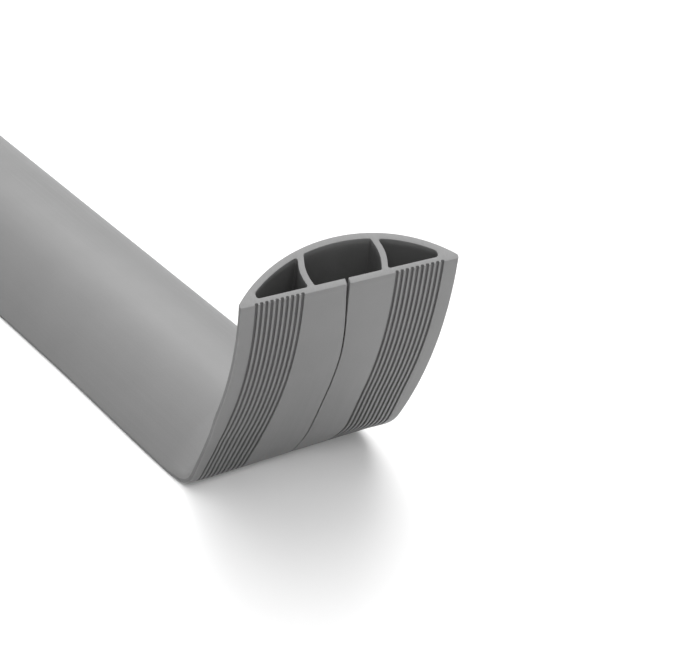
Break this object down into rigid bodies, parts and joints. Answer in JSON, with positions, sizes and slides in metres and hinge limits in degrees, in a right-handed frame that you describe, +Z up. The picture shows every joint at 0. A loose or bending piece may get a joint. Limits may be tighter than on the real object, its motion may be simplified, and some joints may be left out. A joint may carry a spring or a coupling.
{
  "type": "floor cord cover",
  "caption": "Domed strip of soft PVC with hollow cord channels and a slit in its grooved underside, lying flat with one end folded up.",
  "frame": {"origin": "middle of the bounding box at floor level", "axes": "+X along the strip towards its folded-up end, +Y across it, +Z up from the floor"},
  "size_m": [0.9288, 0.123, 0.1686],
  "materials": {
    "soft_grey_pvc": "matt, soft"
  },
  "bodies": {
    "root": {"cord_cover": "soft_grey_pvc"}
  },
  "joints": []
}
